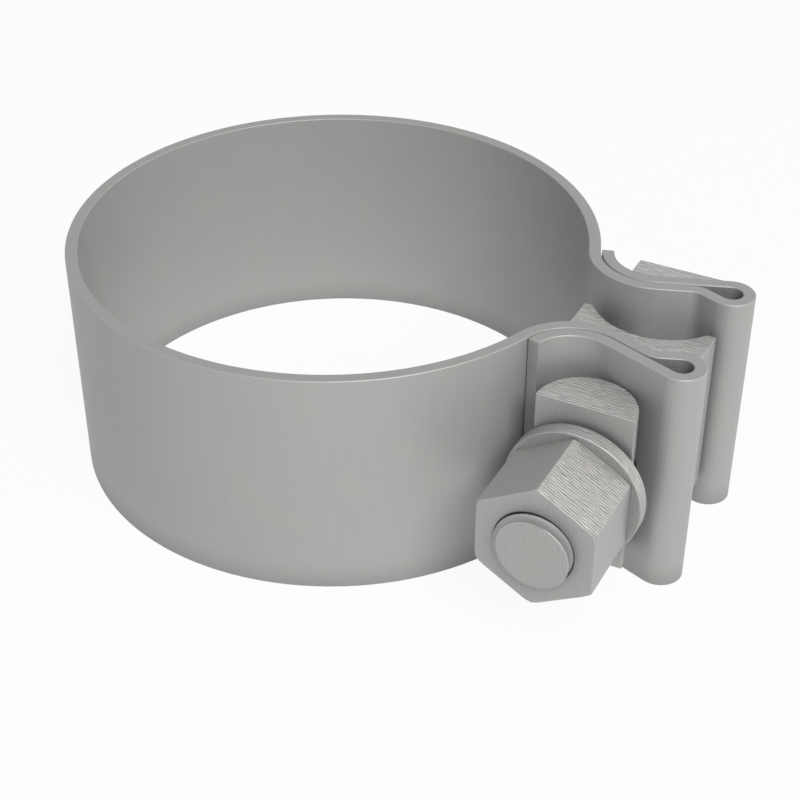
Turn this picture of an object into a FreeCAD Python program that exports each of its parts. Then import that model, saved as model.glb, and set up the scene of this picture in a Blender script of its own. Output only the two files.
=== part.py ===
import FreeCAD, Part
import math
import os
import Sketcher

# Single-bolt band clamp for an exhaust lap joint, drawn open as it slips over the pipe.
# Millimetres, +Z along the pipe, origin on the pipe axis at half the band's width, lugs on +X.
# The clamp is the same above and below z = 0, and its two lugs mirror each other about y = 0.

# Driving dimensions, in millimetres and degrees
SIZES = {
    # Strip and ring
    "ring_bore": 68.0,
    "band_width": 31.75,
    "strip_thickness": 1.6,
    "strip_edge_break": 0.1,
    # Lugs, each the same strip bent outwards and folded back over itself
    "lug_gap": 10.5,
    "pocket_radius": 5.5,
    "lap_gap": 0.15,
    "lug_rise_angle": 19.7,
    "lug_straight": 9.5,
    "crest_fall_angle": 20.9,
    "crest_radius": 1.6,
    "hairpin_radius": 1.45,
    "lap_end_angle": 17.5,
    "lug_hole_play": 0.5,
    # Bolt with a half-round head
    "bolt_diameter": 10.0,
    "bolt_lead": 2.67,
    "bolt_stub": 1.46,
    "bolt_chamfer": 0.35,
    "head_depth": 2.8,
    # Half-round bar, the same section and height as the bolt's head
    "bar_radius": 6.4,
    "bar_height": 22.8,
    "bar_seat_gap": 0.3,
    "hole_play": 0.25,
    # Spacer block between the lugs
    "spacer_tip": 1.24,
    "spacer_hook": 0.15,
    "spacer_waist": 2.6,
    "spacer_nest_play": 0.4,
    "spacer_round": 0.5,
    # Washer and nut
    "washer_overhang": 0.34,
    "washer_thickness": 2.0,
    "nut_play": 0.7,
    "nut_across_flats": 15.0,
    "nut_height": 11.2,
    "nut_corner_chamfer": 0.45,
    "nut_chamfer_angle": 30.0,
    "thread_play": 0.05,
    "nut_mouth": 0.3,
    # Broken edges of the turned and cut pieces
    "edge_break": 0.3,
}

doc = FreeCAD.newDocument("exhaust_clamp")

sheet = doc.addObject("Spreadsheet::Sheet", "Sizes")
for row, (name, value) in enumerate(SIZES.items(), start=1):
    sheet.set("A%d" % row, name)
    sheet.set("B%d" % row, str(value))
    sheet.setAlias("B%d" % row, name)
doc.recompute()


# Lengths that several pieces share, as expressions on the sheet
def sized(text):
    """The expression text with every size's name pointed at the sheet."""
    words = []
    word = ""
    for letter in text + " ":
        if letter.isalnum() or letter == "_":
            word += letter
            continue
        words.append("Sizes." + word if word in SIZES else word)
        words.append(letter)
        word = ""
    return "(" + "".join(words).strip() + ")"


RING_INNER = sized("ring_bore / 2")
RING_OUTER = sized("ring_bore / 2 + strip_thickness")
LAP_FACE = sized("pocket_radius + strip_thickness")
BEND_OUTER = sized("pocket_radius + 2 * strip_thickness + lap_gap")
POCKET_Y = "(" + sized("lug_gap / 2") + " + " + BEND_OUTER + ")"
POCKET_X = "sqrt((" + RING_INNER + " + " + BEND_OUTER + ")^2 - " + POCKET_Y + "^2)"
BOLT_X = "(" + POCKET_X + " + " + sized("bolt_lead") + ")"
SLOPE = sized("lug_rise_angle * 1 deg")
SEAT_RISE = sized("bar_radius + bar_seat_gap - pocket_radius")
SEAT_Y = (
    "(" + POCKET_Y + " + (" + sized("bolt_lead") + " * sin(" + SLOPE + ") + " + SEAT_RISE + ")"
    + " / cos(" + SLOPE + "))"
)
WASHER_Y = "(" + SEAT_Y + " + " + sized("nut_play") + ")"
NUT_Y = "(" + WASHER_Y + " + " + sized("washer_thickness") + ")"
BOLT_LENGTH = "(" + SEAT_Y + " + " + NUT_Y + " + " + sized("nut_height + bolt_stub") + ")"
BOLT_RADIUS = sized("bolt_diameter / 2")
HOLE_RADIUS = sized("bolt_diameter / 2 + hole_play")
HEXAGON = 6
NUT_CORNER = sized("nut_across_flats / 2") + " / cos(180 deg / %d)" % HEXAGON
WASHER_RIM = "(" + NUT_CORNER + " + " + sized("washer_overhang") + ")"
NEAR = 0.001


def number(expression):
    """The present value of an expression on the sheet."""
    value = sheet.evalExpression(expression)
    return float(getattr(value, "Value", value))


def at(x, y):
    return FreeCAD.Vector(x, y, 0)


def polar(centre, radius, degrees):
    turn = math.radians(degrees)
    return centre + at(radius * math.cos(turn), radius * math.sin(turn))


def new_body(name):
    body = doc.addObject("PartDesign::Body", name)
    body.Label = name
    return body


def plane_of(body, role):
    for feature in body.Origin.OriginFeatures:
        if feature.Role == role:
            return feature
    raise ValueError("no plane " + role)


def new_sketch(body, name, role):
    sketch = body.newObject("Sketcher::SketchObject", name)
    sketch.AttachmentSupport = [(plane_of(body, role), "")]
    sketch.MapMode = "FlatFace"
    return sketch


def rule(sketch, kind, *places, size=None):
    """Add a constraint, its value bound to an expression where it has one."""
    if size is None:
        return sketch.addConstraint(Sketcher.Constraint(kind, *places))
    value = number(size)
    if kind == "Angle":
        value = math.radians(value)
    index = sketch.addConstraint(Sketcher.Constraint(kind, *places, value))
    sketch.setExpression("Constraints[%d]" % index, size)
    return index


# Ends and centre of a sketch curve, and the sketch's own origin, X axis and Y axis
START, END, CENTRE = range(1, 4)
ORIGIN = (-1, START)
AXIS_X, AXIS_Y = range(-1, -3, -1)


def arc(sketch, centre, radius, first, last):
    """An arc that runs anticlockwise from the first to the last angle, in degrees."""
    circle = Part.Circle(centre, at(0, 0) + FreeCAD.Vector(0, 0, 1), radius)
    return sketch.addGeometry(Part.ArcOfCircle(circle, math.radians(first), math.radians(last)), False)


def line(sketch, start, end):
    return sketch.addGeometry(Part.LineSegment(start, end), False)


def ring_sketch(body, name, role, radius):
    """A circle about the sketch's origin."""
    sketch = new_sketch(body, name, role)
    circle = sketch.addGeometry(Part.Circle(at(0, 0), FreeCAD.Vector(0, 0, 1), number(radius)), False)
    rule(sketch, "Coincident", circle, CENTRE, *ORIGIN)
    rule(sketch, "Radius", circle, size=radius)
    return sketch


def pad(body, name, sketch, length, both_ways=False):
    feature = body.newObject("PartDesign::Pad", name)
    feature.Profile = sketch
    feature.SideType = "Symmetric" if both_ways else "One side"
    feature.setExpression("Length", length)
    doc.recompute()
    return feature


def cut_through(body, name, sketch):
    """Cut the sketch right through the body, both ways, and make sure that metal went."""
    before = body.Shape.Volume
    feature = body.newObject("PartDesign::Pocket", name)
    feature.Profile = sketch
    feature.Type = "ThroughAll"
    feature.SideType = "Symmetric"
    doc.recompute()
    if body.Shape.Volume >= before:
        raise ValueError(name + " cuts nothing")
    return feature


def dress(body, kind, name, size, wanted):
    """Round or chamfer the edges of the body for which wanted says yes."""
    base = body.Tip
    edges = ["Edge%d" % (i + 1) for i, edge in enumerate(base.Shape.Edges) if wanted(edge)]
    feature = body.newObject("PartDesign::" + kind, name)
    feature.Base = (base, edges)
    feature.setExpression("Radius" if kind == "Fillet" else "Size", size)
    doc.recompute()
    return feature


def flat_at(edge, axis, places):
    """Whether the whole edge lies at one of the given heights along an axis."""
    box = edge.BoundBox
    low = getattr(box, axis + "Min")
    high = getattr(box, axis + "Max")
    return any(abs(low - place) < NEAR and abs(high - place) < NEAR for place in places)


def place(body, x, y):
    """Bind the body's place in the clamp to expressions."""
    body.setExpression("Placement.Base.x", x)
    body.setExpression("Placement.Base.y", y)


# Band: one strip, rolled to a ring, with each end bent out round a pocket, folded back in an
# open hairpin and laid over itself as far as the ring
def make_band():
    ring = number(RING_INNER)
    thick = number(sized("strip_thickness"))
    pocket = number(sized("pocket_radius"))
    bend = number(BEND_OUTER)
    hairpin = number(sized("hairpin_radius"))
    crest = number(sized("crest_radius"))
    rise = number(sized("lug_rise_angle"))
    fall = number(sized("crest_fall_angle"))
    lap_end = 180 + number(sized("lap_end_angle"))

    pipe_axis = at(0, 0)
    pocket_axis = at(number(POCKET_X), number(POCKET_Y))
    tangent = math.degrees(math.atan2(pocket_axis.y, pocket_axis.x))
    along = polar(at(0, 0), 1, rise)
    below = polar(at(0, 0), 1, rise - 90)
    hairpin_axis = pocket_axis + along * number(sized("lug_straight")) + below * (pocket + thick + hairpin)

    # The gap-side faces before and after the crest are two lines at the crest's radius from its axis
    falling_below = polar(at(0, 0), 1, -90 - fall)
    reach_one = below.dot(pocket_axis) + bend + crest
    reach_two = falling_below.dot(hairpin_axis) + hairpin + thick + crest
    spread = below.x * falling_below.y - below.y * falling_below.x
    crest_axis = at(
        (reach_one * falling_below.y - reach_two * below.y) / spread,
        (below.x * reach_two - falling_below.x * reach_one) / spread,
    )

    body = new_body("band")
    sketch = new_sketch(body, "folded_strip", "XY_Plane")

    # Gap side of the inner layer, from the back of the ring to the hairpin
    ring_in = arc(sketch, pipe_axis, ring, tangent, 180)
    bend_in = arc(sketch, pocket_axis, bend, 180 + tangent, 270 + rise)
    rise_in = line(sketch, polar(pocket_axis, bend, rise - 90), polar(crest_axis, crest, rise + 90))
    crest_in = arc(sketch, crest_axis, crest, 90 - fall, 90 + rise)
    fall_in = line(
        sketch, polar(crest_axis, crest, 90 - fall), polar(hairpin_axis, hairpin + thick, -90 - fall)
    )
    # Outer skin of the hairpin and of the layer that lies over the first
    turn_out = arc(sketch, hairpin_axis, hairpin + thick, -90 - fall, 90 + rise)
    back_out = line(
        sketch, polar(hairpin_axis, hairpin + thick, 90 + rise), polar(pocket_axis, pocket, rise - 90)
    )
    pocket_out = arc(sketch, pocket_axis, pocket, lap_end, 270 + rise)
    sheared = line(sketch, polar(pocket_axis, pocket, lap_end), polar(pocket_axis, pocket + thick, lap_end))
    # Back along the inside of the fold to the ring
    lap_in = arc(sketch, pocket_axis, pocket + thick, lap_end, 270 + rise)
    back_in = line(
        sketch, polar(pocket_axis, pocket + thick, rise - 90), polar(hairpin_axis, hairpin, 90 + rise)
    )
    turn_in = arc(sketch, hairpin_axis, hairpin, -90 - fall, 90 + rise)
    fall_out = line(
        sketch, polar(hairpin_axis, hairpin, -90 - fall), polar(crest_axis, crest + thick, 90 - fall)
    )
    crest_out = arc(sketch, crest_axis, crest + thick, 90 - fall, 90 + rise)
    rise_out = line(
        sketch, polar(crest_axis, crest + thick, rise + 90), polar(pocket_axis, bend - thick, rise - 90)
    )
    bend_out = arc(sketch, pocket_axis, bend - thick, 180 + tangent, 270 + rise)
    ring_out = arc(sketch, pipe_axis, ring + thick, tangent, 180)
    seam = line(sketch, at(-ring - thick, 0), at(-ring, 0))

    # The strip's faces run smoothly into each other
    for one, one_end, two, two_end in (
        (ring_in, START, bend_in, START),
        (bend_in, END, rise_in, START),
        (rise_in, END, crest_in, END),
        (crest_in, START, fall_in, START),
        (fall_in, END, turn_out, START),
        (turn_out, END, back_out, START),
        (back_out, END, pocket_out, END),
        (lap_in, END, back_in, START),
        (back_in, END, turn_in, END),
        (turn_in, START, fall_out, START),
        (fall_out, END, crest_out, START),
        (crest_out, END, rise_out, START),
        (rise_out, END, bend_out, END),
        (bend_out, START, ring_out, START),
    ):
        rule(sketch, "Tangent", one, one_end, two, two_end)
    for one, one_end, two, two_end in (
        (pocket_out, START, sheared, START),
        (sheared, END, lap_in, START),
        (ring_out, END, seam, START),
        (seam, END, ring_in, END),
    ):
        rule(sketch, "Coincident", one, one_end, two, two_end)

    # Bends that share an axis
    for bent in (ring_in, ring_out):
        rule(sketch, "Coincident", bent, CENTRE, *ORIGIN)
    for bent in (bend_out, lap_in, pocket_out):
        rule(sketch, "Coincident", bent, CENTRE, bend_in, CENTRE)
    rule(sketch, "Coincident", crest_out, CENTRE, crest_in, CENTRE)
    rule(sketch, "Coincident", turn_out, CENTRE, turn_in, CENTRE)

    rule(sketch, "Radius", ring_in, size=RING_INNER)
    rule(sketch, "Radius", ring_out, size=RING_OUTER)
    rule(sketch, "Radius", bend_in, size=BEND_OUTER)
    rule(sketch, "Radius", pocket_out, size=sized("pocket_radius"))
    rule(sketch, "Radius", lap_in, size=LAP_FACE)
    rule(sketch, "Radius", turn_in, size=sized("hairpin_radius"))
    rule(sketch, "Radius", turn_out, size=sized("hairpin_radius + strip_thickness"))
    rule(sketch, "Radius", crest_in, size=sized("crest_radius"))
    rule(sketch, "Radius", crest_out, size=sized("crest_radius + strip_thickness"))

    rule(sketch, "PointOnObject", seam, START, AXIS_X)
    rule(sketch, "PointOnObject", seam, END, AXIS_X)
    rule(sketch, "DistanceY", *ORIGIN, bend_in, CENTRE, size=POCKET_Y)
    rule(sketch, "PointOnObject", bend_in, CENTRE, sheared)
    rule(sketch, "Angle", AXIS_X, START, sheared, START, size=sized("lap_end_angle + 180"))
    rule(sketch, "Parallel", back_in, rise_in)
    rule(sketch, "Angle", AXIS_X, START, back_in, START, size=sized("lug_rise_angle"))
    rule(sketch, "Angle", fall_in, START, AXIS_X, START, size=sized("crest_fall_angle"))
    rule(sketch, "Distance", back_in, START, back_in, END, size=sized("lug_straight"))
    doc.recompute()

    pad(body, "half_band", sketch, sized("band_width"), both_ways=True)
    mirrored = body.newObject("PartDesign::Mirrored", "whole_band")
    mirrored.Originals = [body.Tip]
    mirrored.MirrorPlane = (plane_of(body, "XZ_Plane"), [""])
    body.Tip = mirrored
    doc.recompute()

    hole = ring_sketch(body, "lug_hole", "XZ_Plane", sized("bolt_diameter / 2 + lug_hole_play"))
    hole.setExpression("AttachmentOffset.Base.x", BOLT_X)
    cut_through(body, "lug_holes", hole)

    faces = [sign * number(sized("band_width / 2")) for sign in (-1, 1)]
    edges = sized("strip_edge_break")
    dress(body, "Chamfer", "slit_edges", edges, lambda edge: flat_at(edge, "Z", faces))
    return body


# Half-round section with its round side on +Y or -Y of its axis, cut to the bar's height
def half_round(body, name, round_side, depth=None):
    radius = number(sized("bar_radius"))
    sketch = new_sketch(body, name, "XY_Plane")
    first = 0 if round_side > 0 else 180
    curve = arc(sketch, at(0, 0), radius, first, first + 180)
    rule(sketch, "Coincident", curve, CENTRE, *ORIGIN)
    rule(sketch, "Radius", curve, size=sized("bar_radius"))
    rule(sketch, "PointOnObject", curve, START, AXIS_X)
    rule(sketch, "PointOnObject", curve, END, AXIS_X)
    if depth is None:
        flat = line(sketch, at(-radius, 0), at(radius, 0))
        rule(sketch, "Coincident", curve, END, flat, START)
        rule(sketch, "Coincident", flat, END, curve, START)
    else:
        deep = number(depth)
        right = line(sketch, at(radius, 0), at(radius, deep))
        flat = line(sketch, at(radius, deep), at(-radius, deep))
        left = line(sketch, at(-radius, deep), at(-radius, 0))
        rule(sketch, "Coincident", curve, END, right, START)
        rule(sketch, "Coincident", right, END, flat, START)
        rule(sketch, "Coincident", flat, END, left, START)
        rule(sketch, "Coincident", left, END, curve, START)
        rule(sketch, "Vertical", right)
        rule(sketch, "Vertical", left)
        rule(sketch, "Horizontal", flat)
        rule(sketch, "DistanceY", right, START, right, END, size=depth)
    return pad(body, name + "_pad", sketch, sized("bar_height"), both_ways=True)


def end_faces():
    return [sign * number(sized("bar_height / 2")) for sign in (-1, 1)]


# Half-round bar that spreads the nut's load over the pocket of its lug
def make_bar():
    body = new_body("half_round_bar")
    half_round(body, "bar_section", 1)
    cut_through(body, "bolt_way", ring_sketch(body, "bolt_hole", "XZ_Plane", HOLE_RADIUS))
    dress(body, "Chamfer", "cut_ends", sized("edge_break"), lambda edge: flat_at(edge, "Z", end_faces()))
    place(body, BOLT_X, "-" + SEAT_Y)
    return body


# Bolt whose head is a deeper half-round bar, so that the pocket keeps it from turning
def make_bolt():
    body = new_body("clamp_bolt")
    half_round(body, "head_section", -1, sized("head_depth"))
    dress(body, "Chamfer", "head_ends", sized("edge_break"), lambda edge: flat_at(edge, "Z", end_faces()))
    shank = ring_sketch(body, "shank_circle", "XZ_Plane", BOLT_RADIUS)
    pad(body, "shank", shank, BOLT_LENGTH)
    end = -number(BOLT_LENGTH)
    dress(body, "Chamfer", "lead_in", sized("bolt_chamfer"), lambda edge: flat_at(edge, "Y", [end]))
    place(body, BOLT_X, SEAT_Y)
    return body


# Spacer block that keeps the lugs parallel, its two long sides hollowed to nest on their bends.
# Its horns reach a little past the lugs' faces, where the bends curve away.
def make_spacer():
    half_depth = number(sized("lug_gap / 2 + spacer_hook"))
    nest = BEND_OUTER + " + " + sized("spacer_nest_play")
    radius = number(nest)
    centre = at(0, number(sized("spacer_waist / 2")) + radius)
    reach = math.sqrt(radius ** 2 - (centre.y - half_depth) ** 2)
    half_width = reach + number(sized("spacer_tip"))
    lean = math.degrees(math.asin(reach / radius))

    body = new_body("spacer_block")
    sketch = new_sketch(body, "block_section", "XY_Plane")
    hollow_top = arc(sketch, centre, radius, 270 - lean, 270 + lean)
    tip_one = line(sketch, at(reach, half_depth), at(half_width, half_depth))
    side_one = line(sketch, at(half_width, half_depth), at(half_width, -half_depth))
    tip_two = line(sketch, at(half_width, -half_depth), at(reach, -half_depth))
    hollow_bottom = arc(sketch, centre * -1, radius, 90 - lean, 90 + lean)
    tip_three = line(sketch, at(-reach, -half_depth), at(-half_width, -half_depth))
    side_two = line(sketch, at(-half_width, -half_depth), at(-half_width, half_depth))
    tip_four = line(sketch, at(-half_width, half_depth), at(-reach, half_depth))
    for one, one_end, two, two_end in (
        (hollow_top, END, tip_one, START),
        (tip_one, END, side_one, START),
        (side_one, END, tip_two, START),
        (tip_two, END, hollow_bottom, START),
        (hollow_bottom, END, tip_three, START),
        (tip_three, END, side_two, START),
        (side_two, END, tip_four, START),
        (tip_four, END, hollow_top, START),
    ):
        rule(sketch, "Coincident", one, one_end, two, two_end)
    for flat in (tip_one, tip_two, tip_three, tip_four):
        rule(sketch, "Horizontal", flat)
    for upright in (side_one, side_two):
        rule(sketch, "Symmetric", upright, START, upright, END, AXIS_X)
    rule(sketch, "Symmetric", side_one, START, side_two, END, AXIS_Y)
    rule(sketch, "PointOnObject", hollow_top, CENTRE, AXIS_Y)
    rule(sketch, "PointOnObject", hollow_bottom, CENTRE, AXIS_Y)
    rule(sketch, "Radius", hollow_top, size=nest)
    rule(sketch, "Equal", hollow_top, hollow_bottom)
    rule(sketch, "DistanceX", tip_one, START, tip_one, END, size=sized("spacer_tip"))
    rule(sketch, "DistanceY", side_one, END, side_one, START, size=sized("lug_gap + 2 * spacer_hook"))
    rule(
        sketch, "DistanceY", *ORIGIN, hollow_top, CENTRE, size=sized("spacer_waist / 2") + " + " + nest
    )
    rule(
        sketch, "DistanceY", hollow_bottom, CENTRE, *ORIGIN, size=sized("spacer_waist / 2") + " + " + nest
    )
    doc.recompute()
    pad(body, "block", sketch, sized("bar_height"), both_ways=True)

    def outer_corner(edge):
        box = edge.BoundBox
        upright = box.ZLength > NEAR and box.XLength < NEAR and box.YLength < NEAR
        return upright and abs(abs(box.XMin) - half_width) < NEAR

    dress(body, "Fillet", "rounded_corners", sized("spacer_round"), outer_corner)
    dress(body, "Chamfer", "cut_ends", sized("edge_break"), lambda edge: flat_at(edge, "Z", end_faces()))
    cut_through(body, "bolt_way", ring_sketch(body, "bolt_hole", "XZ_Plane", HOLE_RADIUS))
    place(body, BOLT_X, "0")
    return body


# Plain washer between the bar's flat and the nut, its rim a little outside the nut's corners
def make_washer():
    body = new_body("washer")
    rim = ring_sketch(body, "washer_rim", "XZ_Plane", WASHER_RIM)
    pad(body, "disc", rim, sized("washer_thickness"))
    cut_through(body, "bolt_way", ring_sketch(body, "bolt_hole", "XZ_Plane", HOLE_RADIUS))
    rim_radius = number(WASHER_RIM)

    def on_rim(edge):
        box = edge.BoundBox
        return box.YLength < NEAR and abs(box.XMax - rim_radius) < NEAR

    dress(body, "Chamfer", "tumbled_rim", sized("edge_break"), on_rim)
    place(body, BOLT_X, "-" + WASHER_Y)
    return body


# Hexagon nut, a corner on top, its corners chamfered and its thread's mouths countersunk
def make_nut():
    radius = number(NUT_CORNER)
    height = number(sized("nut_height"))
    body = new_body("hex_nut")
    sketch = new_sketch(body, "hexagon", "XZ_Plane")
    circle = sketch.addGeometry(Part.Circle(at(0, 0), FreeCAD.Vector(0, 0, 1), radius), True)
    rule(sketch, "Coincident", circle, CENTRE, *ORIGIN)
    rule(sketch, "Radius", circle, size=NUT_CORNER)
    corners = [polar(at(0, 0), radius, 90 + 360 / HEXAGON * i) for i in range(HEXAGON)]
    sides = [line(sketch, corners[i], corners[(i + 1) % HEXAGON]) for i in range(HEXAGON)]
    for i, side in enumerate(sides):
        rule(sketch, "Coincident", side, END, sides[(i + 1) % HEXAGON], START)
        rule(sketch, "PointOnObject", side, START, circle)
        if i:
            rule(sketch, "Equal", sides[0], side)
    rule(sketch, "PointOnObject", sides[0], START, AXIS_Y)
    doc.recompute()
    pad(body, "blank", sketch, sized("nut_height"))

    bore = sized("bolt_diameter / 2 + thread_play")
    cut_through(body, "thread_way", ring_sketch(body, "thread_bore", "XZ_Plane", bore))
    bore_radius = number(bore)

    def mouth(edge):
        box = edge.BoundBox
        return box.YLength < NEAR and abs(box.XMax - bore_radius) < NEAR

    dress(body, "Chamfer", "thread_mouths", sized("nut_mouth"), mouth)

    # A slanting cut, revolved about the bolt's axis, takes off the corners at both ends
    slant = math.tan(math.radians(number(sized("nut_chamfer_angle"))))
    inner = radius - number(sized("nut_corner_chamfer"))
    outer = radius + number(sized("nut_corner_chamfer"))
    before = body.Shape.Volume
    for name, face, inward in (("front", -height, 1), ("rear", 0, -1)):
        profile = new_sketch(body, name + "_corner_cut", "XY_Plane")
        foot = line(profile, at(inner, face), at(outer, face))
        back = line(profile, at(outer, face), at(outer, face + inward * (outer - inner) * slant))
        slope = line(profile, at(outer, face + inward * (outer - inner) * slant), at(inner, face))
        rule(profile, "Coincident", foot, END, back, START)
        rule(profile, "Coincident", back, END, slope, START)
        rule(profile, "Coincident", slope, END, foot, START)
        rule(profile, "Horizontal", foot)
        rule(profile, "Vertical", back)
        if face:
            rule(profile, "DistanceY", foot, START, *ORIGIN, size=sized("nut_height"))
        else:
            rule(profile, "PointOnObject", foot, START, AXIS_X)
        rule(
            profile, "DistanceX", *ORIGIN, foot, START,
            size=NUT_CORNER + " - " + sized("nut_corner_chamfer"),
        )
        rule(profile, "DistanceX", foot, START, foot, END, size=sized("2 * nut_corner_chamfer"))
        swing = (slope, END, foot, START) if inward < 0 else (foot, START, slope, END)
        rule(profile, "Angle", *swing, size=sized("nut_chamfer_angle"))
        doc.recompute()
        groove = body.newObject("PartDesign::Groove", name + "_corners")
        groove.Profile = profile
        groove.ReferenceAxis = (profile, ["V_Axis"])
        groove.Angle = 360
        doc.recompute()
    if body.Shape.Volume >= before:
        raise ValueError("the corner cuts take nothing")
    place(body, BOLT_X, "-" + NUT_Y)
    return body


bodies = [make_band(), make_bolt(), make_bar(), make_spacer(), make_washer(), make_nut()]
doc.recompute()

for item in doc.Objects:
    if "Invalid" in item.State or "Error" in item.State:
        raise ValueError("failed: " + item.Name)

os.makedirs("parts", exist_ok=True)
for body in bodies:
    shape = body.Shape
    if shape.isNull() or not shape.isValid() or len(shape.Solids) != 1:
        raise ValueError("bad solid: " + body.Label)
    shape.exportStep("parts/" + body.Label + ".step")
    box = shape.BoundBox
    print(
        body.Label, "volume %.1f" % shape.Volume, "x %.2f %.2f" % (box.XMin, box.XMax),
        "y %.2f %.2f" % (box.YMin, box.YMax), "z %.2f %.2f" % (box.ZMin, box.ZMax),
    )
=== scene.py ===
"""Exhaust band clamp: its pieces with their threads and finish, the stage under it and the camera."""

import math

import bmesh
import bpy
from bpy.props import FloatProperty, FloatVectorProperty, IntProperty, PointerProperty
from bpy.types import Operator, Panel, PropertyGroup
from bpy.utils import register_class, unregister_class
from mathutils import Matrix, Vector


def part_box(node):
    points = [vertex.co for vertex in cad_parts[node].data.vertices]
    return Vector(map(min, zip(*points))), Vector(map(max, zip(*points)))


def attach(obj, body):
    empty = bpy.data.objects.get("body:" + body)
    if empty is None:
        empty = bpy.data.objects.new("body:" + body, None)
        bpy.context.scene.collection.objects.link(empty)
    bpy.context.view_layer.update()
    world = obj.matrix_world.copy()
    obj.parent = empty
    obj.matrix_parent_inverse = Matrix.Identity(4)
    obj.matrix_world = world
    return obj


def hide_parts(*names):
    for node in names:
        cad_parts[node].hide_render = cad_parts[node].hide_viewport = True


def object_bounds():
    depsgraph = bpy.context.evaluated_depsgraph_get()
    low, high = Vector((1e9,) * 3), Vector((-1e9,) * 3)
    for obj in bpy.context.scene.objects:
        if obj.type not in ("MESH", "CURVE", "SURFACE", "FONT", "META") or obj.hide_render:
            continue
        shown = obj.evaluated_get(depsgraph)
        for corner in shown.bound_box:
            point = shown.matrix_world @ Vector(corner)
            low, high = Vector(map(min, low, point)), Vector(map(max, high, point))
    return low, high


bl_info = {
    "name": "Exhaust band clamp",
    "version": (1, 0, 0),
    "blender": (4, 5, 0),
    "location": "3D View > Sidebar > Clamp",
    "description": "Dresses a bolted exhaust clamp in steel and sets it under soft studio light",
    "category": "Object",
}

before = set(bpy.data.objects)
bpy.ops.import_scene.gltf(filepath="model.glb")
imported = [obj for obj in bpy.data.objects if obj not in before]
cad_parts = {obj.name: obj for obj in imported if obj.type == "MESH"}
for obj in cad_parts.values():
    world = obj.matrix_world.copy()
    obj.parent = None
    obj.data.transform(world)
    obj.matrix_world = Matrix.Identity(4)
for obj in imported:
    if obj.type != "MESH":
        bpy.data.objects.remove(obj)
CAD_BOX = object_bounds()

# Boxes of the solids, in metres; the bolt's axis runs along Y at AXIS_X
BOLT_LOW, BOLT_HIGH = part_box("clamp_bolt")
BAR_LOW, BAR_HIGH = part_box("half_round_bar")
SPACER_LOW, SPACER_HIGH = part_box("spacer_block")
WASHER_LOW, WASHER_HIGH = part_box("washer")
NUT_LOW, NUT_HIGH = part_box("hex_nut")
AXIS_X = (BOLT_LOW.x + BOLT_HIGH.x) / 2

# A millimetre, and how close points have to lie to be welded, in metres
MM = 0.001
WELD = 1e-7
FULL_TURN = 2 * math.pi
# A 60 degree thread falls this much for each unit along the axis
THREAD_SLOPE = math.sqrt(3)
# Shares of the pitch: half the flat crest, the rounding at the root and the depth of each thread
CREST_HALF = 1 / 16
ROOT_ROUND = 0.06
BOLT_DEPTH = 0.6134
NUT_DEPTH = 0.5413
# Pitches by which a thread's rows start before its low end, and by which they are longer than it in
# all, so that the helix runs past both ends all the way round
LEAD_PITCHES = 2
SPARE_PITCHES = 4
# Where the shank starts inside the head, as a share of the head's radius
SHANK_ROOT = 0.2

# Edges sharper than this are shaded sharp, and are rounded over on bar stock
SMOOTH_ANGLE = math.radians(32)
# Steps across a rounded edge of bar stock, and the profile that makes it a true arc
ROUND_STEPS = 3
ROUND_PROFILE = 0.5
# Middle of the nut's rounded edge, as a share of its width in from each face
ROUND_MIDDLE = 0.3
# Steps round a half-round bar, a hollow of the block, and each edge of the washer's section
HALF_ROUND_STEPS = 64
HOLLOW_STEPS = 48
BURR_STEPS = 3
ROLL_STEPS = 6
# The nut's sides and the degrees from one to the next, and steps round a corner and along a flat
HEX_SIDES = 6
HEX_STEP = 60
CORNER_STEPS = 4
FLAT_STEPS = 12

# Sizes of the steel's clouds and of the grain on its slit edges, and how far wear reaches
CLOUD = (8 * MM, 8 * MM, 8 * MM)
SHEARED = (0.4 * MM, 0.4 * MM, 0.4 * MM)
EDGE_REACH = 0.3 * MM
# How much the clouds and the worn edges change the roughness
CLOUD_GLOSS = 0.035
EDGE_GLOSS = 0.06
# The warmer tint of the brightest clouds, and how far the tone is drawn towards it
WARM_TINT = (0.42, 0.4, 0.37)
WARM_SHARE = 0.45
# The finer of two layers of brushed lines, as a share of the other, and the strength of each
SHORT_LINE = 0.63
LONG_GAIN = 1.6
SHORT_GAIN = 1.2
# How far the even brushed lines stray, in spacings
MARK_DRIFT = 0.45
# Their strong and weak stretches: size as a share of the patches in which they stray, and difference
MARK_PATCH = 0.5
MARK_UNEVEN = 1.6
# Strength of the scratches between the even lines
SCRATCH_GAIN = 0.5
# Where each mask begins and ends: bend of a worn edge, then shares of a face's own direction
WORN_EDGE = (0.02, 0.25)
ACROSS_BOLT = (0.8, 0.97)
SLIT_EDGE = (0.6, 0.9)
LIT_FACE = (0.6, 0.85)
# X and Z of the way that the faces with painted light look: upwards and a little outwards, where the key
# lamp lights them most
LIT_SIDE = (0.5, 0.87)
# Rays sent out from each point to find a worn edge, and to find a corner that gets painted shade
EDGE_RAYS = 4
CORNER_RAYS = 8
# A Mix node names its sockets alike for every kind of value, so those for colours go by number
MIX_SHARE = 0
MIX_FROM = 6
MIX_TO = 7
MIX_RESULT = 2

# Half the floor's width in metres, and its paint
FLOOR_HALF = 3
FLOOR_PAINT = (0.9, 0.9, 0.9, 1)
# How near to the camera things are still seen, in metres
NEAREST = 0.01


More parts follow.
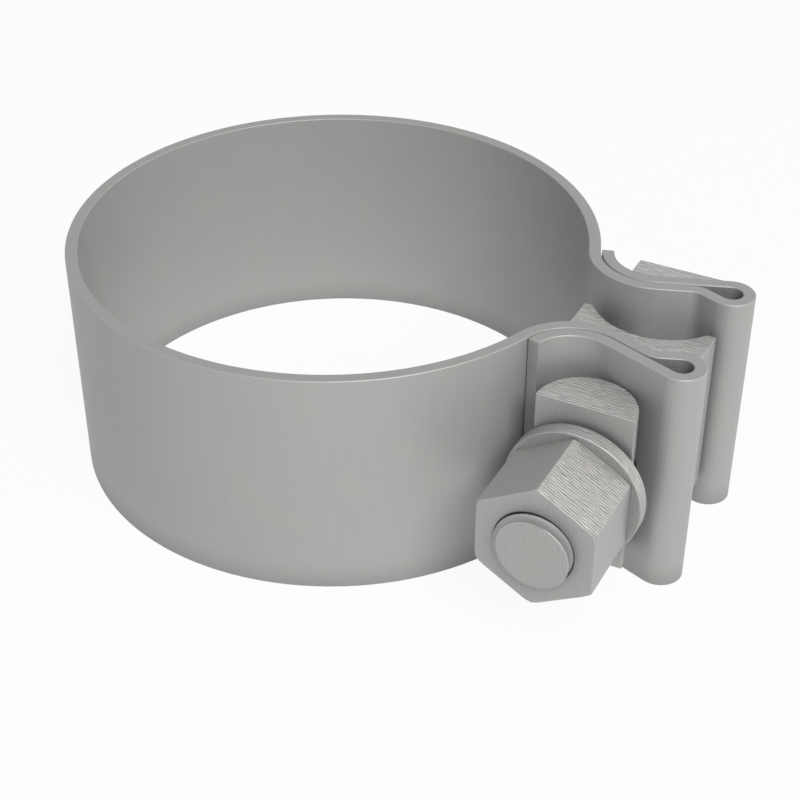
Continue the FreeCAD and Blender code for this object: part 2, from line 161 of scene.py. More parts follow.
class ClampSizes(PropertyGroup):
    """Sizes of the small forms that the solids draw plain."""

    shank: FloatProperty(
        name="Shank diameter", description="Outside diameter of the bolt's thread",
        default=10 * MM, min=MM, unit="LENGTH",
    )
    pitch: FloatProperty(
        name="Thread pitch", description="How far the nut moves in one turn",
        default=1.5 * MM, min=0.5 * MM, unit="LENGTH",
    )
    thread_length: FloatProperty(
        name="Thread length", description="Length of the thread from the bolt's end",
        default=26 * MM, min=0, unit="LENGTH",
    )
    thread_play: FloatProperty(
        name="Thread play", description="Room between the nut's thread and the bolt's, on the radius",
        default=0.05 * MM, min=0, unit="LENGTH",
    )
    lead_chamfer: FloatProperty(
        name="Bolt end chamfer", description="Width of the chamfer on the bolt's end",
        default=0.2 * MM, min=0, unit="LENGTH",
    )
    nut_mouth: FloatProperty(
        name="Nut mouth", description="Width of the countersink at both ends of the nut's thread",
        default=0.15 * MM, min=0, unit="LENGTH",
    )
    corner_chamfer: FloatProperty(
        name="Nut corner chamfer", description="How far the turned chamfer reaches in from a corner",
        default=0.45 * MM, min=0, unit="LENGTH",
    )
    corner_slant: FloatProperty(
        name="Nut chamfer angle", description="Angle between the nut's turned chamfer and its end face",
        default=math.radians(30), subtype="ANGLE",
    )
    hole: FloatProperty(
        name="Bolt hole", description="Diameter of the holes in the bar, the block and the washer",
        default=10.5 * MM, min=MM, unit="LENGTH",
    )
    head_flat: FloatProperty(
        name="Head depth", description="Depth of the bolt head behind its half-round side",
        default=2.8 * MM, min=0, unit="LENGTH",
    )
    block_waist: FloatProperty(
        name="Block waist", description="Thickness of the spacer block between its hollows",
        default=2.6 * MM, min=0, unit="LENGTH",
    )
    block_hollow: FloatProperty(
        name="Block hollow", description="Radius of the two hollows of the spacer block",
        default=9.3 * MM, min=0, unit="LENGTH",
    )
    edge_round: FloatProperty(
        name="Edge rounding", description="Rounding of the cut and tumbled edges",
        default=0.12 * MM, min=0, unit="LENGTH",
    )
    die_roll: FloatProperty(
        name="Die roll", description="Rounding of the washer's rim on the side the punch came from",
        default=0.15 * MM, min=0, unit="LENGTH",
    )
    turn_steps: IntProperty(
        name="Steps a turn", description="Points round each turned form", default=96, min=24,
    )
    thread_rows: IntProperty(
        name="Rows a pitch", description="Rows of points across one pitch of thread", default=16, min=8,
    )


class SteelFinish:
    """What the steel finishes share: tone, gloss, lines, wear and painted shade in corners."""

    tone: FloatVectorProperty(
        name="Tone", description="Colour of the steel", subtype="COLOR", size=3, min=0, max=1,
        default=(0.4, 0.394, 0.385),
    )
    metal: FloatProperty(
        name="Bare metal", description="Share of bare metal under the fine grey oxide",
        default=0.2, min=0, max=1, subtype="FACTOR",
    )
    roughness: FloatProperty(
        name="Roughness", description="Mean roughness", default=0.5, min=0, max=1, subtype="FACTOR",
    )
    line_width: FloatProperty(
        name="Line width", description="Width of one line", default=0.15 * MM, unit="LENGTH",
    )
    line_length: FloatProperty(
        name="Line length", description="Length of one line", default=7 * MM, unit="LENGTH",
    )
    line_depth: FloatProperty(
        name="Line depth", description="Depth of the lines", default=0.004 * MM, unit="LENGTH",
    )
    line_shade: FloatProperty(
        name="Line shade", description="How much lighter or darker the lines are", default=0.02,
    )
    line_gloss: FloatProperty(
        name="Line gloss", description="How much rougher or smoother the lines are", default=0.04,
    )
    cloud_shade: FloatProperty(
        name="Cloud shade", description="How much lighter or darker the broad clouds are", default=0.025,
    )
    edge_shade: FloatProperty(
        name="Edge shade", description="How much lighter handling has made the edges", default=0.04,
    )
    # Painted shade: the colour is made darker in tight corners and between the pieces, where contact
    # shadow falls, out to the reach below
    painted_corner_shade: FloatProperty(
        name="Corner shade", description="How much darker the oxide makes tight corners",
        default=0.5, min=0, max=1, subtype="FACTOR",
    )
    painted_shade_reach: FloatProperty(
        name="Corner reach", description="How far from a corner the oxide reaches",
        default=4 * MM, unit="LENGTH",
    )


class StripFinish(SteelFinish, PropertyGroup):
    """Finish of the rolled strip."""

    slit_shade: FloatProperty(
        name="Slit shade", description="How much duller the slit edges are than the faces", default=0.14,
    )


class FittingFinish(SteelFinish, PropertyGroup):
    """Finish of the bolt, bar, block, washer and nut."""

    metal: FloatProperty(
        name="Bare metal", description="Share of bare metal under the fine grey oxide",
        default=0.35, min=0, max=1, subtype="FACTOR",
    )
    line_width: FloatProperty(
        name="Line width", description="Width of one scratch", default=0.19 * MM, unit="LENGTH",
    )
    line_length: FloatProperty(
        name="Line length", description="Length of one brushed line", default=1.5 * MM, unit="LENGTH",
    )
    line_spacing: FloatProperty(
        name="Line spacing", description="From one brushed line to the next", default=0.42 * MM,
        min=0.05 * MM, unit="LENGTH",
    )
    line_stray: FloatProperty(
        name="Line stray", description="Width of the patches in which the brushed lines stray together",
        default=0.8 * MM, min=0.05 * MM, unit="LENGTH",
    )
    line_depth: FloatProperty(
        name="Line depth", description="Depth of the brushed lines", default=0.006 * MM, unit="LENGTH",
    )
    line_shade: FloatProperty(
        name="Line shade", description="How much lighter or darker the brushed lines are", default=0.36,
    )
    line_gloss: FloatProperty(
        name="Line gloss", description="How much rougher or smoother the brushed lines are", default=0.07,
    )
    # Painted light: the faces that the key lamp lights most get a lighter colour and full-strength lines
    # as painted glints; elsewhere the lines keep only this share
    unlit_line_share: FloatProperty(
        name="Plain share", description="Strength of the lines away from the faces brushed last",
        default=0.12, min=0, max=1, subtype="FACTOR",
    )
    painted_face_light: FloatProperty(
        name="Brushed light", description="How much lighter the faces brushed last are", default=0.1,
    )


class StageSettings(PropertyGroup):
    """Light, floor and camera."""

    background: FloatProperty(
        name="Background", description="White level that the camera sees behind the clamp", default=0.993,
    )
    floor_shadow: FloatProperty(
        name="Floor shadow", description="Share of the real floor, with its shadow, in what is seen",
        default=0.06, subtype="FACTOR",
    )
    sky: FloatProperty(name="Sky", description="Strength of the light from all round", default=0.28)
    lamp_size: FloatProperty(
        name="Lamp size", description="Width of each square lamp", default=0.5, unit="LENGTH",
    )
    lamp_distance: FloatProperty(
        name="Lamp distance", description="How far each lamp hangs from the clamp", default=0.95,
        unit="LENGTH",
    )
    key: FloatProperty(name="Key lamp", description="Power of the main lamp", default=7.0, unit="POWER")
    key_side: FloatVectorProperty(
        name="Key side", description="Where the main lamp hangs", subtype="DIRECTION", size=3,
        default=(0.52, -0.44, 0.73),
    )
    back: FloatProperty(name="Back lamp", description="Power of the back lamp", default=0.8, unit="POWER")
    back_side: FloatVectorProperty(
        name="Back side", description="Where the back lamp hangs", subtype="DIRECTION", size=3,
        default=(0.7, 0.65, 0.3),
    )
    camera_place: FloatVectorProperty(
        name="Camera place", description="Where the camera stands", subtype="TRANSLATION", size=3,
        default=(98.204 * MM, -170.095 * MM, 126.893 * MM),
    )
    camera_aim: FloatVectorProperty(
        name="Camera aim", description="The point in the middle of the picture", subtype="TRANSLATION",
        size=3, default=(15.55 * MM, -10.81 * MM, 0),
    )
    lens: FloatProperty(name="Lens", description="Focal length in millimetres", default=75.42, min=1)


class ClampSettings(PropertyGroup):
    """All that a user can change."""

    sizes: PointerProperty(type=ClampSizes)
    strip: PointerProperty(type=StripFinish)
    fittings: PointerProperty(type=FittingFinish)
    stage: PointerProperty(type=StageSettings)


class Wire:
    """A shader socket that can be written with in expressions."""

    def __init__(self, socket):
        self.socket = socket
        self.tree = socket.id_data

    @staticmethod
    def node(tree, kind, settings=None, sockets=None):
        """Add a node: its settings first, then the values or links of its sockets."""
        made = tree.nodes.new(kind)
        for name, value in (settings or {}).items():
            setattr(made, name, value)
        for name, value in (sockets or {}).items():
            if isinstance(value, Wire):
                tree.links.new(value.socket, made.inputs[name])
            else:
                made.inputs[name].default_value = value
        return made

    def maths(self, operation, *terms):
        """The result of a Math node on these terms, in their order."""
        settings = {"operation": operation}
        return Wire(Wire.node(self.tree, "ShaderNodeMath", settings, dict(enumerate(terms))).outputs[0])

    def __add__(self, other):
        return self.maths("ADD", self, other)

    __radd__ = __add__

    def __sub__(self, other):
        return self.maths("SUBTRACT", self, other)

    def __rsub__(self, other):
        return self.maths("SUBTRACT", other, self)

    def __mul__(self, other):
        return self.maths("MULTIPLY", self, other)

    __rmul__ = __mul__

    def __abs__(self):
        return self.maths("ABSOLUTE", self)

    def sine(self):
        """The sine of this, in radians."""
        return self.maths("SINE", self)

    def higher(self, other):
        """The higher of this and the other."""
        return self.maths("MAXIMUM", self, other)

    def between(self, low, high):
        """0 below low, 1 above high and a smooth step in between."""
        settings = {"interpolation_type": "SMOOTHSTEP"}
        sockets = {"Value": self, "From Min": low, "From Max": high}
        return Wire(Wire.node(self.tree, "ShaderNodeMapRange", settings, sockets).outputs["Result"])

    def blend(self, low, high):
        """low where this is 0 and high where it is 1, for values."""
        return low + (high - low) * self


def parts_of(wire):
    """The X, Y and Z of a vector."""
    split = Wire.node(wire.tree, "ShaderNodeSeparateXYZ", sockets={"Vector": wire})
    return [Wire(output) for output in split.outputs]


def noise(spot, grain, detail):
    """Noise from -1 to 1 whose grains measure grain, a length along each axis."""
    sockets = {0: spot, 1: [1 / length for length in grain]}
    stretched = Wire.node(spot.tree, "ShaderNodeVectorMath", {"operation": "MULTIPLY"}, sockets)
    sockets = {"Vector": Wire(stretched.outputs[0]), "Scale": 1.0, "Detail": detail}
    value = Wire(Wire.node(spot.tree, "ShaderNodeTexNoise", sockets=sockets).outputs["Fac"])
    return value * 2 - 1


def tinted(tree, tone, shade, tint, amount):
    """The tone made lighter or darker by shade, and drawn towards the tint by amount."""
    sockets = {MIX_SHARE: amount, MIX_FROM: (*tone, 1), MIX_TO: (*tint, 1)}
    mixed = Wire.node(tree, "ShaderNodeMix", {"data_type": "RGBA"}, sockets)
    sockets = {0: Wire(mixed.outputs[MIX_RESULT]), "Scale": shade}
    return Wire(Wire.node(tree, "ShaderNodeVectorMath", {"operation": "SCALE"}, sockets).outputs[0])


def edge_mask(tree):
    """1 along the edges, where handling has polished the metal, and 0 away from them."""
    rounded = Wire.node(tree, "ShaderNodeBevel", {"samples": EDGE_RAYS}, {"Radius": EDGE_REACH})
    plain = Wire.node(tree, "ShaderNodeNewGeometry")
    sockets = {0: Wire(rounded.outputs["Normal"]), 1: Wire(plain.outputs["Normal"])}
    dot = Wire.node(tree, "ShaderNodeVectorMath", {"operation": "DOT_PRODUCT"}, sockets)
    return (1 - Wire(dot.outputs["Value"])).between(*WORN_EDGE)


def corner_mask(tree, reach):
    """1 deep in a tight corner or between the pieces, and 0 in the open; it sets where shade is painted.
    """
    settings = {"samples": CORNER_RAYS}
    open_share = Wire.node(tree, "ShaderNodeAmbientOcclusion", settings, {"Distance": reach})
    return 1 - Wire(open_share.outputs["AO"])


def brushed(spot, grain):
    """Brushed lines, above and below 0: long ones crossed by shorter, finer ones."""
    long_lines = noise(spot, grain, detail=0)
    short_lines = noise(spot, [SHORT_LINE * length for length in grain], detail=0)
    return long_lines * LONG_GAIN + short_lines * SHORT_GAIN


def tool_marks(spot, across, grain, spacing):
    """Even lines, above and below 0 and spacing apart along across, that noise lets stray and fade."""
    drift = noise(spot, grain, detail=1)
    wave = (across * (1 / spacing) + drift * MARK_DRIFT) * FULL_TURN
    stretches = noise(spot, [MARK_PATCH * length for length in grain], detail=1)
    return wave.sine() * (1 + stretches * MARK_UNEVEN)


def empty_tree(owner):
    """The node tree of a material or a world, with nothing in it."""
    owner.use_nodes = True
    owner.node_tree.nodes.clear()
    return owner.node_tree


def open_steel(name):
    """A new material, its empty tree, the piece's own coordinates and the way its surface looks."""
    material = bpy.data.materials.new(name)
    tree = empty_tree(material)
    coordinates = Wire.node(tree, "ShaderNodeTexCoord")
    spot = Wire(coordinates.outputs["Object"])
    facing = parts_of(Wire(coordinates.outputs["Normal"]))
    return material, tree, spot, facing


def close_steel(tree, spot, finish, lines, light):
    """Join the lines, the tone of each face (with painted light on the fittings' lit faces), clouds, worn
    edges and painted shade in corners into a surface.
    """
    clouds = noise(spot, CLOUD, detail=3)
    edges = edge_mask(tree)
    corners = corner_mask(tree, finish.painted_shade_reach)
    shade = light + lines * finish.line_shade + clouds * finish.cloud_shade + edges * finish.edge_shade
    # Painted shade: darker colour in tight corners and between the pieces
    shade = shade * (1 - corners * finish.painted_corner_shade)
    warmth = clouds.between(0, 1) * WARM_SHARE
    roughness = finish.roughness + lines * finish.line_gloss + clouds * CLOUD_GLOSS - edges * EDGE_GLOSS
    sockets = {"Strength": 1.0, "Distance": finish.line_depth, "Height": lines}
    relief = Wire.node(tree, "ShaderNodeBump", sockets=sockets)
    sockets = {
        "Base Color": tinted(tree, finish.tone, shade, WARM_TINT, warmth),
        "Metallic": finish.metal,
        "Roughness": roughness,
        "Normal": Wire(relief.outputs["Normal"]),
    }
    surface = Wire.node(tree, "ShaderNodeBsdfPrincipled", sockets=sockets)
    Wire.node(tree, "ShaderNodeOutputMaterial", sockets={"Surface": Wire(surface.outputs[0])})


def fitting_steel(name, finish):
    """Brushed steel: lines across the bolt on the sides, and across the bar on faces across the bolt."""
    material, tree, spot, facing = open_steel(name)
    width, length, stray = finish.line_width, finish.line_length, finish.line_stray
    x, y = parts_of(spot)[:2]
    side_marks = tool_marks(spot, y, (length, stray, length), finish.line_spacing)
    end_marks = tool_marks(spot, x, (stray, length, length), finish.line_spacing)
    side_lines = side_marks + brushed(spot, (length, width, length)) * SCRATCH_GAIN
    end_lines = end_marks + brushed(spot, (width, length, length)) * SCRATCH_GAIN
    across_bolt = abs(facing[1]).between(*ACROSS_BOLT)
    # Painted light and glints: faces looking upwards and a little outwards, which the key lamp lights
    # most, are made lighter and keep their lines at full strength; the lines themselves are real brushing
    upwards = facing[0] * LIT_SIDE[0] + facing[2] * LIT_SIDE[1]
    lit_faces = upwards.between(*LIT_FACE)
    lines = across_bolt.blend(side_lines, end_lines) * lit_faces.blend(finish.unlit_line_share, 1)
    close_steel(tree, spot, finish, lines, 1 + lit_faces * finish.painted_face_light)
    return material


def strip_steel(name, finish):
    """Rolled strip: faint lines up and down its faces, and duller slit edges with a sheared grain."""
    material, tree, spot, facing = open_steel(name)
    width, length = finish.line_width, finish.line_length
    slit = abs(facing[2]).between(*SLIT_EDGE)
    rolled = brushed(spot, (width, width, length))
    sheared = noise(spot, SHEARED, detail=3)
    close_steel(tree, spot, finish, slit.blend(rolled, sheared), 1 - slit * finish.slit_shade)
    return material


def material_of(name, make, finish):
    """The named material, made the first time it is asked for."""
    return bpy.data.materials.get(name) or make(name, finish)


def wear(piece, material):
    """Give the piece's every slot the material."""
    if not piece.data.materials:
        piece.data.materials.append(material)
    for index in range(len(piece.data.materials)):
        piece.data.materials[index] = material


def placed(name, data):
    """A new object in the scene, made of a mesh, a light or a camera."""
    item = bpy.data.objects.new(name, data)
    bpy.context.scene.collection.objects.link(item)
    return item


def aimed(item, place, look):
    """Stand a lamp or the camera in its place and let it look along a direction."""
    item.location = place
    item.rotation_mode = "QUATERNION"
    item.rotation_quaternion = look.to_track_quat("-Z", "Y")


def new_piece(name, points, faces):
    """A mesh object with its doubled points welded and its faces turned outwards."""
    mesh = bpy.data.meshes.new(name)
    mesh.from_pydata(points, [], faces)
    shape = bmesh.new()
    shape.from_mesh(mesh)
    bmesh.ops.remove_doubles(shape, verts=shape.verts, dist=WELD)
    bmesh.ops.recalc_face_normals(shape, faces=shape.faces)
    shape.to_mesh(mesh)
    shape.free()
    return placed(name, mesh)


def smoothed(piece):
    """Smooth shading up to sharp edges, with the large faces kept flat."""
    piece.data.shade_smooth()
    piece.data.set_sharp_from_angle(angle=SMOOTH_ANGLE)
    modifier = piece.modifiers.new("even_normals", "WEIGHTED_NORMAL")
    modifier.keep_sharp = True
    settled(piece)


def settled(piece):
    """Turn the piece's modifiers into plain mesh."""
    graph = bpy.context.evaluated_depsgraph_get()
    graph.update()
    evaluated = piece.evaluated_get(graph)
    mesh = bpy.data.meshes.new_from_object(evaluated, preserve_all_data_layers=True, depsgraph=graph)
    old = piece.data
    piece.modifiers.clear()
    piece.data = mesh
    mesh.name = piece.name
    bpy.data.meshes.remove(old)


def joined(piece, other, operation):
    """The piece united with the other, or cut by it; the other is used up."""
    modifier = piece.modifiers.new("shape", "BOOLEAN")
    modifier.operation = operation
    modifier.solver = "EXACT"
    modifier.object = other
    settled(piece)
    tool = other.data
    bpy.data.objects.remove(other)
    bpy.data.meshes.remove(tool)
    return piece


def arc_points(centre, radius, first, last, steps):
    """Points along an arc, both ends included, angles in degrees."""
    points = []
    for step in range(steps + 1):
        turn = math.radians(first + (last - first) * step / steps)
        points.append((centre[0] + radius * math.cos(turn), centre[1] + radius * math.sin(turn)))
    return points


def bar_stock(name, outline, low, high, rounding):
    """A length of bar with the outline as its section, its sharp edges rounded over."""
    shape = bmesh.new()
    foot = [shape.verts.new((x, y, low)) for x, y in outline]
    top = [shape.verts.new((x, y, high)) for x, y in outline]
    shape.faces.new(reversed(foot))
    shape.faces.new(top)
    for index in range(len(outline)):
        after = (index + 1) % len(outline)
        shape.faces.new((foot[index], foot[after], top[after], top[index]))
    bmesh.ops.recalc_face_normals(shape, faces=shape.faces)
    sharp = [edge for edge in shape.edges if edge.calc_face_angle() > SMOOTH_ANGLE]
    bmesh.ops.bevel(
        shape, geom=sharp, offset=rounding, segments=ROUND_STEPS, profile=ROUND_PROFILE,
        affect="EDGES", clamp_overlap=True,
    )
    mesh = bpy.data.meshes.new(name)
    shape.to_mesh(mesh)
    shape.free()
    return placed(name, mesh)


def on_axis(radius, turn, along):
    """A point round the bolt's axis; along runs towards -Y, and turn is right-handed about it."""
    return (AXIS_X + radius * math.cos(turn), -along, radius * math.sin(turn))


def even_turns(steps):
    """Angles spread evenly over one turn."""
    return [FULL_TURN * step / steps for step in range(steps)]


def round_faces(steps, count, first=0, shift=0):
    """Faces between neighbouring columns of count points each, all the way round.

    The first column starts at the point first. Where the round closes, the last column meets it
    shift points further on, as on a helix."""
    faces = []
    for step in range(steps):
        closing = step == steps - 1
        here = first + step * count
        there = first + shift if closing else here + count
        for row in range(count - 1 - shift * closing):
            faces.append((here + row, here + row + 1, there + row + 1, there + row))
    return faces


def turned(name, profile, steps):
    """A piece turned about the bolt's axis from (radius, along) points.

    The profile begins and ends on the axis, or ends at its own first point."""
    points = []
    for turn in even_turns(steps):
        points += [on_axis(radius, turn, along) for radius, along in profile]
    return new_piece(name, points, round_faces(steps, len(profile)))


def drill(piece, sizes, low, high):
    """Drill the piece along the bolt's axis, through its faces at Y of low and high."""
    radius = sizes.hole / 2
    rear = -(high + MM)
    front = -(low - MM)
    profile = [(0, rear), (radius, rear), (radius, front), (0, front)]
    return joined(piece, turned(piece.name + "_drill", profile, sizes.turn_steps), "DIFFERENCE")


def soft_step(value):
    """0 below 0, 1 above 1 and smooth in between."""
    value = max(0.0, min(1.0, value))
    return value * value * (3 - 2 * value)


def soft_low(first, second, softness):
    """The lower of two values, rounded over where they meet."""
    share = max(softness - abs(first - second), 0) / softness
    return min(first, second) - share * share * softness / 4


def phase_of(turn, along, pitch):
    """Pitches from the nearest crest, from -0.5 to 0.5."""
    return (along / pitch - turn / FULL_TURN + 0.5) % 1 - 0.5


def thread_fall(turn, along, pitch, depth):
    """How far a 60 degree thread lies below its crest; depth is a share of the pitch."""
    flank = max(0, abs(phase_of(turn, along, pitch)) - CREST_HALF) * THREAD_SLOPE * pitch
    return soft_low(flank, depth * pitch, ROOT_ROUND * pitch)


def helix_skin(turns, radius_at, low, high, sizes):
    """Points and faces of a threaded skin from low to high along the axis.

    The rows follow the helix, and what would lie past an end is drawn back onto it."""
    rows = sizes.thread_rows
    count = int((high - low) / sizes.pitch + SPARE_PITCHES) * rows
    points = []
    for turn in turns:
        for row in range(count):
            along = low + sizes.pitch * (row / rows - LEAD_PITCHES + turn / FULL_TURN)
            along = max(low, min(high, along))
            points.append(on_axis(radius_at(turn, along), turn, along))
    return points, round_faces(len(turns), count, shift=rows)


class ClampOperator:
    """What the clamp's operators share."""

    bl_options = {"REGISTER", "UNDO"}

    @property
    def settings(self):
        """All that a user can change."""
        return bpy.context.scene.exhaust_clamp

    def fit(self, piece, body, slot, node):
        """Smooth and brush the piece, and let it ride on its body and stand for its solid."""
        smoothed(piece)
        wear(piece, material_of("brushed_steel", fitting_steel, self.settings.fittings))
        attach(piece, body)
        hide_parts(node)


class CLAMP_OT_band(ClampOperator, Operator):
    """Finish the folded band in cold-rolled strip steel"""

    bl_idname = "clamp.finish_band"
    bl_label = "Finish the band"

    def execute(self, context):
        wear(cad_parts["band"], material_of("rolled_strip", strip_steel, self.settings.strip))
        return {"FINISHED"}


class CLAMP_OT_bolt(ClampOperator, Operator):
    """Forge the bolt: half-round head, plain shank and rolled thread"""

    bl_idname = "clamp.forge_bolt"
    bl_label = "Forge the bolt"

    def head(self, sizes, radius, seat):
        """The head: half-round on the side of the lug, and flat behind."""
        outline = arc_points((AXIS_X, seat), radius, 180, 360, HALF_ROUND_STEPS)
        outline += [(AXIS_X + radius, BOLT_HIGH.y), (AXIS_X - radius, BOLT_HIGH.y)]
        return bar_stock("round_head_bolt", outline, BOLT_LOW.z, BOLT_HIGH.z, sizes.edge_round)

    def shank(self, sizes, root):
        """The shank from its root inside the head to the bolt's end, threaded and chamfered."""
        radius = sizes.shank / 2
        end = -BOLT_LOW.y
        start = end - sizes.thread_length

        def radius_at(turn, along):
            fall = thread_fall(turn, along, sizes.pitch, BOLT_DEPTH)
            fall *= soft_step((along - start) / sizes.pitch)
            chamfer = radius - sizes.lead_chamfer + (end - along)
            return min(radius - fall, chamfer)

        turns = even_turns(sizes.turn_steps)
        points, faces = helix_skin(turns, radius_at, start, end, sizes)

        # Plain shank behind the thread, then its two end faces
        first = len(points)
        for turn in turns:
            plain = radius_at(turn, start)
            points += [on_axis(plain, turn, start), on_axis(plain, turn, root)]
        faces += round_faces(len(turns), 2, first)
        faces.append(tuple(range(first + 1, len(points), 2)))
        first = len(points)
        points += [on_axis(radius_at(turn, end), turn, end) for turn in turns]
        faces.append(tuple(range(first, len(points))))
        return new_piece("shank", points, faces)

    def execute(self, context):
        sizes = self.settings.sizes
        radius = (BOLT_HIGH.x - BOLT_LOW.x) / 2
        seat = BOLT_HIGH.y - sizes.head_flat
        shank = self.shank(sizes, -(seat + radius * SHANK_ROOT))
        bolt = joined(self.head(sizes, radius, seat), shank, "UNION")
        self.fit(bolt, "clamp", "bolt_steel", "clamp_bolt")
        return {"FINISHED"}


class CLAMP_OT_bar(ClampOperator, Operator):
    """Cut and drill the half-round bar under the nut"""

    bl_idname = "clamp.cut_bar"
    bl_label = "Cut the half-round bar"

    def execute(self, context):
        sizes = self.settings.sizes
        radius = (BAR_HIGH.x - BAR_LOW.x) / 2
        outline = arc_points((AXIS_X, BAR_LOW.y), radius, 0, 180, HALF_ROUND_STEPS)
        bar = bar_stock("seat_bar", outline, BAR_LOW.z, BAR_HIGH.z, sizes.edge_round)
        drill(bar, sizes, BAR_LOW.y, BAR_HIGH.y)
        self.fit(bar, "clamp", "bar_steel", "half_round_bar")
        return {"FINISHED"}


class CLAMP_OT_spacer(ClampOperator, Operator):
    """Cut and drill the hollow-sided block between the lugs"""

    bl_idname = "clamp.cut_spacer"
    bl_label = "Cut the spacer block"

    def execute(self, context):
        sizes = self.settings.sizes
        radius = sizes.block_hollow
        centre = sizes.block_waist / 2 + radius
        lean = math.degrees(math.acos((centre - SPACER_HIGH.y) / radius))
        outline = [(SPACER_HIGH.x, SPACER_LOW.y), (SPACER_HIGH.x, SPACER_HIGH.y)]
        outline += arc_points((AXIS_X, centre), radius, 270 + lean, 270 - lean, HOLLOW_STEPS)
        outline += [(SPACER_LOW.x, SPACER_HIGH.y), (SPACER_LOW.x, SPACER_LOW.y)]
        outline += arc_points((AXIS_X, -centre), radius, 90 + lean, 90 - lean, HOLLOW_STEPS)
        block = bar_stock("waisted_block", outline, SPACER_LOW.z, SPACER_HIGH.z, sizes.edge_round)
        drill(block, sizes, SPACER_LOW.y, SPACER_HIGH.y)
        self.fit(block, "spacer", "bar_steel", "spacer_block")
        return {"FINISHED"}


class CLAMP_OT_washer(ClampOperator, Operator):
    """Punch the washer, with the rounded rim that a punch leaves on one side"""

    bl_idname = "clamp.punch_washer"
    bl_label = "Punch the washer"

    def execute(self, context):
        sizes = self.settings.sizes
        rear = -WASHER_HIGH.y
        front = -WASHER_LOW.y
        rim = (WASHER_HIGH.z - WASHER_LOW.z) / 2
        bore = sizes.hole / 2
        roll = sizes.die_roll
        burr = sizes.edge_round / 2
        profile = arc_points((rim - burr, rear + burr), burr, 270, 360, BURR_STEPS)
        profile += arc_points((rim - roll, front - roll), roll, 0, 90, ROLL_STEPS)
        profile += arc_points((bore + burr, front - burr), burr, 90, 180, BURR_STEPS)
        profile += arc_points((bore + roll, rear + roll), roll, 180, 270, ROLL_STEPS)
        profile.append(profile[0])
        washer = turned("punched_washer", profile, sizes.turn_steps)
        self.fit(washer, "washer", "washer_steel", "washer")
        return {"FINISHED"}


class CLAMP_OT_nut(ClampOperator, Operator):
    """Make the hexagon nut: turned corners, countersunk mouths and a cut thread"""

    bl_idname = "clamp.tap_nut"
    bl_label = "Tap the nut"

    def outline(self, flat, rounding):
        """Turn and radius of each point round the hexagon, a corner on top, its corners rounded."""
        half = HEX_STEP / 2
        reach = (flat - rounding) / math.cos(math.radians(half))
        corners = []
        for number in range(HEX_SIDES):
            middle = half + HEX_STEP * number
            turn = math.radians(middle)
            centre = (reach * math.cos(turn), reach * math.sin(turn))
            corners.append(arc_points(centre, rounding, middle - half, middle + half, CORNER_STEPS))
        points = []
        for here, after in zip(corners, corners[1:] + corners[:1]):
            points += here
            for step in range(1, FLAT_STEPS):
                share = step / FLAT_STEPS
                points.append([start + (end - start) * share for start, end in zip(here[-1], after[0])])
        return sorted((math.atan2(y, x) % FULL_TURN, math.hypot(x, y)) for x, y in points)

    def execute(self, context):
        sizes = self.settings.sizes
        rear = -NUT_HIGH.y
        front = -NUT_LOW.y
        flat = (NUT_HIGH.x - NUT_LOW.x) / 2
        corner = flat / math.cos(math.radians(HEX_STEP / 2))
        clear = corner - sizes.corner_chamfer
        slant = math.tan(sizes.corner_slant)
        root = sizes.shank / 2 + sizes.thread_play
        mouth = root + sizes.nut_mouth
        edge = sizes.edge_round / 2

        def radius_at(turn, along):
            fall = thread_fall(turn, along, sizes.pitch, NUT_DEPTH)
            from_face = min(along - rear, front - along)
            return max(root - fall, mouth - from_face)

        def drop(radius):
            """How far the turned chamfer lies below the end face at this radius."""
            return max(0, radius - clear) * slant

        def column(turn, radius, face, inward):
            """Points from the mouth across one end face and over the edge to the side."""
            rim = radius - edge
            spots = [
                (mouth, 0),
                (min(clear, rim), 0),
                (rim, drop(rim)),
                (radius - ROUND_MIDDLE * edge, drop(radius) + ROUND_MIDDLE * edge),
                (radius, drop(radius) + edge),
            ]
            return [on_axis(place, turn, face + inward * fallen) for place, fallen in spots]

        outline = self.outline(flat, sizes.edge_round)
        points, faces = helix_skin([turn for turn, radius in outline], radius_at, rear, front, sizes)
        first = len(points)
        for turn, radius in outline:
            points += column(turn, radius, rear, 1) + column(turn, radius, front, -1)[::-1]
        faces += round_faces(len(outline), (len(points) - first) // len(outline), first)
        nut = new_piece("hexagon_nut", points, faces)
        self.fit(nut, "nut", "nut_steel", "hex_nut")
        return {"FINISHED"}


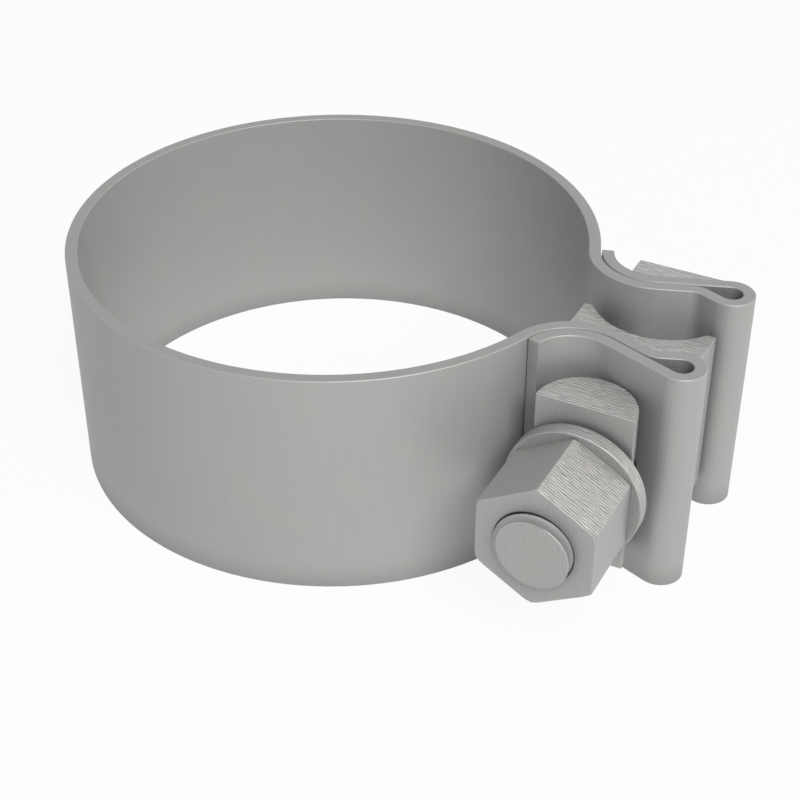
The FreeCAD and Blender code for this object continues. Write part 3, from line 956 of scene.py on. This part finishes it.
class CLAMP_OT_stage(ClampOperator, Operator):
    """Lay the floor, hang the lights and stand the camera"""

    bl_idname = "clamp.set_stage"
    bl_label = "Set the stage"

    def seen_directly(self, tree):
        """1 for what the camera sees, straight, in a reflection or through glass."""
        path = Wire.node(tree, "ShaderNodeLightPath")
        rays = ("Is Camera Ray", "Is Glossy Ray", "Is Transmission Ray")
        camera, glossy, transmitted = (Wire(path.outputs[name]) for name in rays)
        return camera.higher(glossy).higher(transmitted)

    def floor(self, stage):
        """A pale floor that reads as the plain background and keeps a little of its shadow."""
        half = FLOOR_HALF
        low = CAD_BOX[0].z
        corners = [(-half, -half, low), (half, -half, low), (half, half, low), (-half, half, low)]
        floor = new_piece("floor", corners, [(0, 1, 2, 3)])
        material = bpy.data.materials.new("pale_floor")
        tree = empty_tree(material)
        paint = Wire.node(tree, "ShaderNodeBsdfDiffuse", sockets={"Color": FLOOR_PAINT})
        level = stage.background
        glow = Wire.node(tree, "ShaderNodeEmission", sockets={"Color": (level, level, level, 1)})
        share = self.seen_directly(tree) * (1 - stage.floor_shadow)
        sockets = {0: share, 1: Wire(paint.outputs[0]), 2: Wire(glow.outputs[0])}
        mixed = Wire.node(tree, "ShaderNodeMixShader", sockets=sockets)
        Wire.node(tree, "ShaderNodeOutputMaterial", sockets={"Surface": Wire(mixed.outputs[0])})
        wear(floor, material)

    def sky(self, stage):
        """A plain white world, at a lower level for the light that falls on the clamp."""
        world = bpy.data.worlds.new("plain_sky")
        bpy.context.scene.world = world
        tree = empty_tree(world)
        level = self.seen_directly(tree).blend(stage.sky, stage.background)
        light = Wire.node(tree, "ShaderNodeBackground", sockets={"Color": (1, 1, 1, 1), "Strength": level})
        Wire.node(tree, "ShaderNodeOutputWorld", sockets={"Surface": Wire(light.outputs[0])})

    def lamp(self, stage, name, power, side):
        """A square soft lamp that looks at the clamp from one side."""
        data = bpy.data.lights.new(name, "AREA")
        data.energy = power
        data.shape = "SQUARE"
        data.size = stage.lamp_size
        lamp = placed(name, data)
        side = Vector(side).normalized()
        aimed(lamp, side * stage.lamp_distance, -side)
        lamp.visible_camera = False

    def camera(self, stage):
        """The camera, through which the clamp is seen as in its picture."""
        data = bpy.data.cameras.new("camera")
        data.lens = stage.lens
        data.clip_start = NEAREST
        camera = placed("camera", data)
        aimed(camera, stage.camera_place, Vector(stage.camera_aim) - Vector(stage.camera_place))
        bpy.context.scene.camera = camera

    def execute(self, context):
        stage = self.settings.stage
        bpy.context.scene.view_settings.view_transform = "Standard"
        self.floor(stage)
        self.sky(stage)
        self.lamp(stage, "key_lamp", stage.key, stage.key_side)
        self.lamp(stage, "back_lamp", stage.back, stage.back_side)
        self.camera(stage)
        return {"FINISHED"}


OPERATORS = (
    CLAMP_OT_band,
    CLAMP_OT_bolt,
    CLAMP_OT_bar,
    CLAMP_OT_spacer,
    CLAMP_OT_washer,
    CLAMP_OT_nut,
    CLAMP_OT_stage,
)


class CLAMP_PT_sidebar(Panel):
    """The clamp's steps and settings"""

    bl_idname = "CLAMP_PT_sidebar"
    bl_label = "Exhaust clamp"
    bl_space_type = "VIEW_3D"
    bl_region_type = "UI"
    bl_category = "Clamp"

    def draw(self, context):
        for operator in OPERATORS:
            self.layout.operator(operator.bl_idname)
        settings = context.scene.exhaust_clamp
        for group in (settings.sizes, settings.strip, settings.fittings, settings.stage):
            box = self.layout.box()
            for name in group.bl_rna.properties.keys():
                if name not in ("rna_type", "name"):
                    box.prop(group, name)


CLASSES = (
    ClampSizes,
    StripFinish,
    FittingFinish,
    StageSettings,
    ClampSettings,
    *OPERATORS,
    CLAMP_PT_sidebar,
)


def register():
    for item in CLASSES:
        register_class(item)
    bpy.types.Scene.exhaust_clamp = PointerProperty(type=ClampSettings)


def unregister():
    del bpy.types.Scene.exhaust_clamp
    for item in reversed(CLASSES):
        unregister_class(item)


def main():
    """Make every piece in order."""
    register()
    bpy.ops.clamp.finish_band()
    bpy.ops.clamp.forge_bolt()
    bpy.ops.clamp.cut_bar()
    bpy.ops.clamp.cut_spacer()
    bpy.ops.clamp.punch_washer()
    bpy.ops.clamp.tap_nut()
    bpy.ops.clamp.set_stage()


if __name__ == "__main__":
    main()
